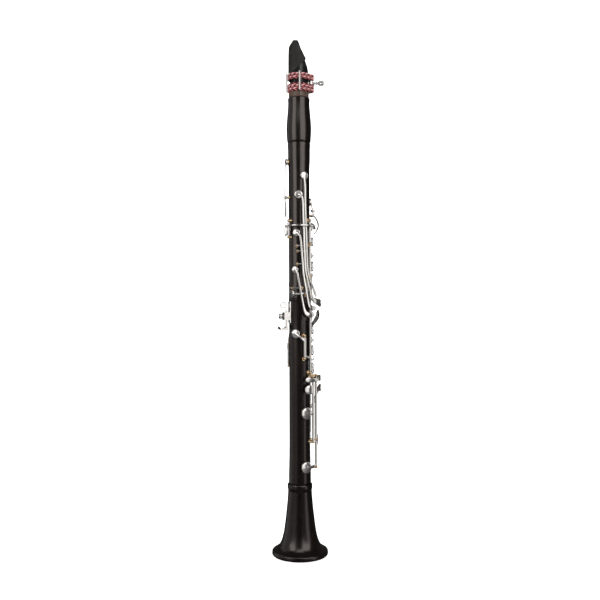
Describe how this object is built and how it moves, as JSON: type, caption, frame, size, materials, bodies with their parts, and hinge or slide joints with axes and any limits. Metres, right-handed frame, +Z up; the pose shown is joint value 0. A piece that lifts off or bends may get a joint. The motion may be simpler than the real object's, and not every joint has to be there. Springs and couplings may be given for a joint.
{
  "type": "clarinet",
  "caption": "Soprano clarinet standing on its bell: dark wood, silver-plated sprung keys on gold posts, corded ligature, mouthpiece cap and sliding thumb rest.",
  "frame": {"origin": "centre of the bell's rim, on the face that it stands on", "axes": "+Z up the bore to the mouthpiece, +X to the finger side, -Y to the player's right"},
  "size_m": [0.0716, 0.0716, 0.657],
  "materials": {
    "grenadilla": "oiled, satin",
    "ebonite": "satin",
    "cork": "matte",
    "matte_plastic": "matte",
    "silver_plate": "polished",
    "gold_plate": "polished",
    "steel": "satin",
    "pad_skin": "matte",
    "braided_cord": "braided"
  },
  "bodies": {
    "root": {"upper_joint": "grenadilla", "lower_joint": "grenadilla", "bell": "grenadilla", "upper_top_cork": "cork", "upper_bottom_cork": "cork", "lower_bottom_cork": "cork", "register_vent": "gold_plate", "thumb_tube": "silver_plate", "upper_posts": "gold_plate", "upper_rods": "steel", "upper_springs": "steel", "lower_posts": "gold_plate", "lower_rods": "steel", "lower_springs": "steel", "thumb_rest_plate": "silver_plate", "thumb_rest_screws": "steel", "strap_ring": "silver_plate"},
    "barrel": {"barrel": "grenadilla", "mouthpiece": "ebonite", "mouthpiece_cork": "cork", "ligature_upper_band": "braided_cord", "ligature_lower_band": "braided_cord", "ligature_bars": "silver_plate", "ligature_frame": "silver_plate"},
    "mouthpiece_cap": {"mouthpiece_cap": "matte_plastic"},
    "ligature_screw": {"ligature_screw": "silver_plate"},
    "thumb_rest_hook": {"thumb_rest_hook": "silver_plate"},
    "thumb_rest_knob": {"thumb_rest_knob": "silver_plate"},
    "register_key": {"register_key": "silver_plate", "register_pad": "pad_skin"},
    "thumb_ring_key": {"thumb_ring_key": "silver_plate"},
    "throat_a_key": {"throat_a_key": "silver_plate", "throat_a_pad": "pad_skin"},
    "throat_g_sharp_key": {"throat_g_sharp_key": "silver_plate"},
    "side_key_1": {"side_key_1": "silver_plate", "side_pad_1": "pad_skin"},
    "side_key_2": {"side_key_2": "silver_plate", "side_pad_2": "pad_skin"},
    "side_key_3": {"side_key_3": "silver_plate", "side_pad_3": "pad_skin"},
    "side_key_4": {"side_key_4": "silver_plate", "side_pad_4": "pad_skin"},
    "index_ring_key": {"index_ring_key": "silver_plate"},
    "middle_ring_key": {"middle_ring_key": "silver_plate"},
    "e_flat_sliver_key": {"e_flat_sliver_key": "silver_plate", "e_flat_pad": "pad_skin"},
    "c_sharp_key": {"c_sharp_key": "silver_plate"},
    "lower_ring_key": {"lower_ring_key": "silver_plate"},
    "b_sliver_key": {"b_sliver_key": "silver_plate", "b_pad": "pad_skin"},
    "f_key": {"f_key": "silver_plate", "f_pad": "pad_skin"},
    "e_key": {"e_key": "silver_plate", "e_pad": "pad_skin"},
    "a_flat_key": {"a_flat_key": "silver_plate"},
    "f_sharp_key": {"f_sharp_key": "silver_plate"},
    "left_e_lever": {"left_e_lever": "silver_plate"},
    "left_f_sharp_lever": {"left_f_sharp_lever": "silver_plate"},
    "left_f_lever": {"left_f_lever": "silver_plate"}
  },
  "joints": [
    {"name": "tuning_slide", "type": "slide", "parent": "root", "child": "barrel", "axis": [0, 0, 1], "range_m": [0, 0.003]},
    {"name": "ligature_screw_turn", "type": "hinge", "parent": "barrel", "child": "ligature_screw", "pos_m": [0.01956, -0.00416, 0.6021], "axis": [0.9781, -0.2079, 0], "range_deg": [-180, 180]},
    {"name": "mouthpiece_cap_slide", "type": "slide", "parent": "barrel", "child": "mouthpiece_cap", "axis": [0, 0, 1], "range_m": [0, 0.045]},
    {"name": "thumb_rest_slide", "type": "slide", "parent": "root", "child": "thumb_rest_hook", "axis": [0, 0, 1], "range_m": [-0.003, 0.003]},
    {"name": "thumb_rest_knob_turn", "type": "hinge", "parent": "root", "child": "thumb_rest_knob", "pos_m": [-0.022, 0, 0.3045], "axis": [-1, 0, 0], "range_deg": [-180, 180]},
    {"name": "register_key_press", "type": "hinge", "parent": "root", "child": "register_key", "pos_m": [-0.0172, 0, 0.4556], "axis": [0, -1, 0], "range_deg": [0, 3.5], "stiffness_Nm_per_rad": 0.03, "springref_deg": -20.05},
    {"name": "thumb_ring_key_press", "type": "hinge", "parent": "root", "child": "thumb_ring_key", "pos_m": [-0.01541, -0.00719, 0.415], "axis": [0, 0, -1], "range_deg": [0, 4], "stiffness_Nm_per_rad": 0.03, "springref_deg": -20.05},
    {"name": "throat_a_key_press", "type": "hinge", "parent": "root", "child": "throat_a_key", "pos_m": [0.0172, 0, 0.433], "axis": [0, 1, 0], "range_deg": [0, 4], "stiffness_Nm_per_rad": 0.03, "springref_deg": -20.05},
    {"name": "throat_g_sharp_key_press", "type": "hinge", "parent": "root", "child": "throat_g_sharp_key", "pos_m": [0.01077, 0.01379, 0.435], "axis": [0, 0, -1], "range_deg": [0, 4], "stiffness_Nm_per_rad": 0.03, "springref_deg": -20.05},
    {"name": "side_key_1_press", "type": "hinge", "parent": "root", "child": "side_key_1", "pos_m": [0.00261, -0.01477, 0.3935], "axis": [0.9848, 0.1736, 0], "range_deg": [0, 1.9], "stiffness_Nm_per_rad": 0.03, "springref_deg": -20.05},
    {"name": "side_key_2_press", "type": "hinge", "parent": "root", "child": "side_key_2", "pos_m": [0.00261, -0.01477, 0.3868], "axis": [0.9848, 0.1736, 0], "range_deg": [0, 2.5], "stiffness_Nm_per_rad": 0.03, "springref_deg": -20.05},
    {"name": "side_key_3_press", "type": "hinge", "parent": "root", "child": "side_key_3", "pos_m": [0, -0.015, 0.3706], "axis": [1, 0, 0], "range_deg": [0, 2.5], "stiffness_Nm_per_rad": 0.03, "springref_deg": -20.05},
    {"name": "side_key_4_press", "type": "hinge", "parent": "root", "child": "side_key_4", "pos_m": [-0.00388, -0.01449, 0.3402], "axis": [0.9659, -0.2588, 0], "range_deg": [0, 3], "stiffness_Nm_per_rad": 0.03, "springref_deg": -20.05},
    {"name": "index_ring_key_press", "type": "hinge", "parent": "root", "child": "index_ring_key", "pos_m": [0.01125, -0.01341, 0.411], "axis": [0, 0, 1], "range_deg": [0, 3.5], "stiffness_Nm_per_rad": 0.03, "springref_deg": -20.05},
    {"name": "middle_ring_key_press", "type": "hinge", "parent": "root", "child": "middle_ring_key", "pos_m": [0.01125, -0.01341, 0.375], "axis": [0, 0, 1], "range_deg": [0, 3.5], "stiffness_Nm_per_rad": 0.03, "springref_deg": -20.05},
    {"name": "e_flat_sliver_key_press", "type": "hinge", "parent": "root", "child": "e_flat_sliver_key", "pos_m": [0.00737, -0.01386, 0.34], "axis": [0, 0, 1], "range_deg": [0, 4], "stiffness_Nm_per_rad": 0.03, "springref_deg": -20.05},
    {"name": "c_sharp_key_press", "type": "hinge", "parent": "root", "child": "c_sharp_key", "pos_m": [0.00183, 0.0174, 0.345], "axis": [0, 0, -1], "range_deg": [0, 4], "stiffness_Nm_per_rad": 0.03, "springref_deg": -20.05},
    {"name": "lower_ring_key_press", "type": "hinge", "parent": "root", "child": "lower_ring_key", "pos_m": [0.01125, -0.01341, 0.269], "axis": [0, 0, 1], "range_deg": [0, 3.5], "stiffness_Nm_per_rad": 0.03, "springref_deg": -20.05},
    {"name": "b_sliver_key_press", "type": "hinge", "parent": "root", "child": "b_sliver_key", "pos_m": [0.00323, -0.01659, 0.265], "axis": [0, 0, 1], "range_deg": [0, 3.5], "stiffness_Nm_per_rad": 0.03, "springref_deg": -20.05},
    {"name": "f_key_press", "type": "hinge", "parent": "root", "child": "f_key", "pos_m": [0.01524, -0.01067, 0.186], "axis": [0, 0, -1], "range_deg": [0, 3.5], "stiffness_Nm_per_rad": 0.03, "springref_deg": -20.05},
    {"name": "e_key_press", "type": "hinge", "parent": "root", "child": "e_key", "pos_m": [0.02115, -0.00148, 0.17], "axis": [0, 0, -1], "range_deg": [0, 2.2], "stiffness_Nm_per_rad": 0.03, "springref_deg": -20.05},
    {"name": "a_flat_key_press", "type": "hinge", "parent": "root", "child": "a_flat_key", "pos_m": [0.01559, 0.01051, 0.21], "axis": [0, 0, -1], "range_deg": [0, 4], "stiffness_Nm_per_rad": 0.03, "springref_deg": -20.05},
    {"name": "f_sharp_key_press", "type": "hinge", "parent": "root", "child": "f_sharp_key", "pos_m": [0.01559, 0.01051, 0.174], "axis": [0, 0, -1], "range_deg": [0, 4], "stiffness_Nm_per_rad": 0.03, "springref_deg": -20.05},
    {"name": "left_e_lever_press", "type": "hinge", "parent": "root", "child": "left_e_lever", "pos_m": [0.00374, 0.01761, 0.254], "axis": [0, 0, -1], "range_deg": [0, 4.4], "stiffness_Nm_per_rad": 0.03, "springref_deg": -20.05},
    {"name": "left_f_sharp_lever_press", "type": "hinge", "parent": "root", "child": "left_f_sharp_lever", "pos_m": [-0.00436, 0.01747, 0.254], "axis": [0, 0, -1], "range_deg": [0, 4], "stiffness_Nm_per_rad": 0.03, "springref_deg": -20.05},
    {"name": "left_f_lever_press", "type": "hinge", "parent": "root", "child": "left_f_lever", "pos_m": [-0.01157, 0.01379, 0.254], "axis": [0, 0, -1], "range_deg": [0, 3.5], "stiffness_Nm_per_rad": 0.03, "springref_deg": -20.05}
  ],
  "couplings": [
    {"joint": "middle_ring_key_press", "follows": "lower_ring_key_press", "ratio": 1},
    {"joint": "left_e_lever_press", "follows": "e_key_press", "ratio": 2},
    {"joint": "left_f_sharp_lever_press", "follows": "f_sharp_key_press", "ratio": 1},
    {"joint": "left_f_lever_press", "follows": "f_key_press", "ratio": 1}
  ]
}
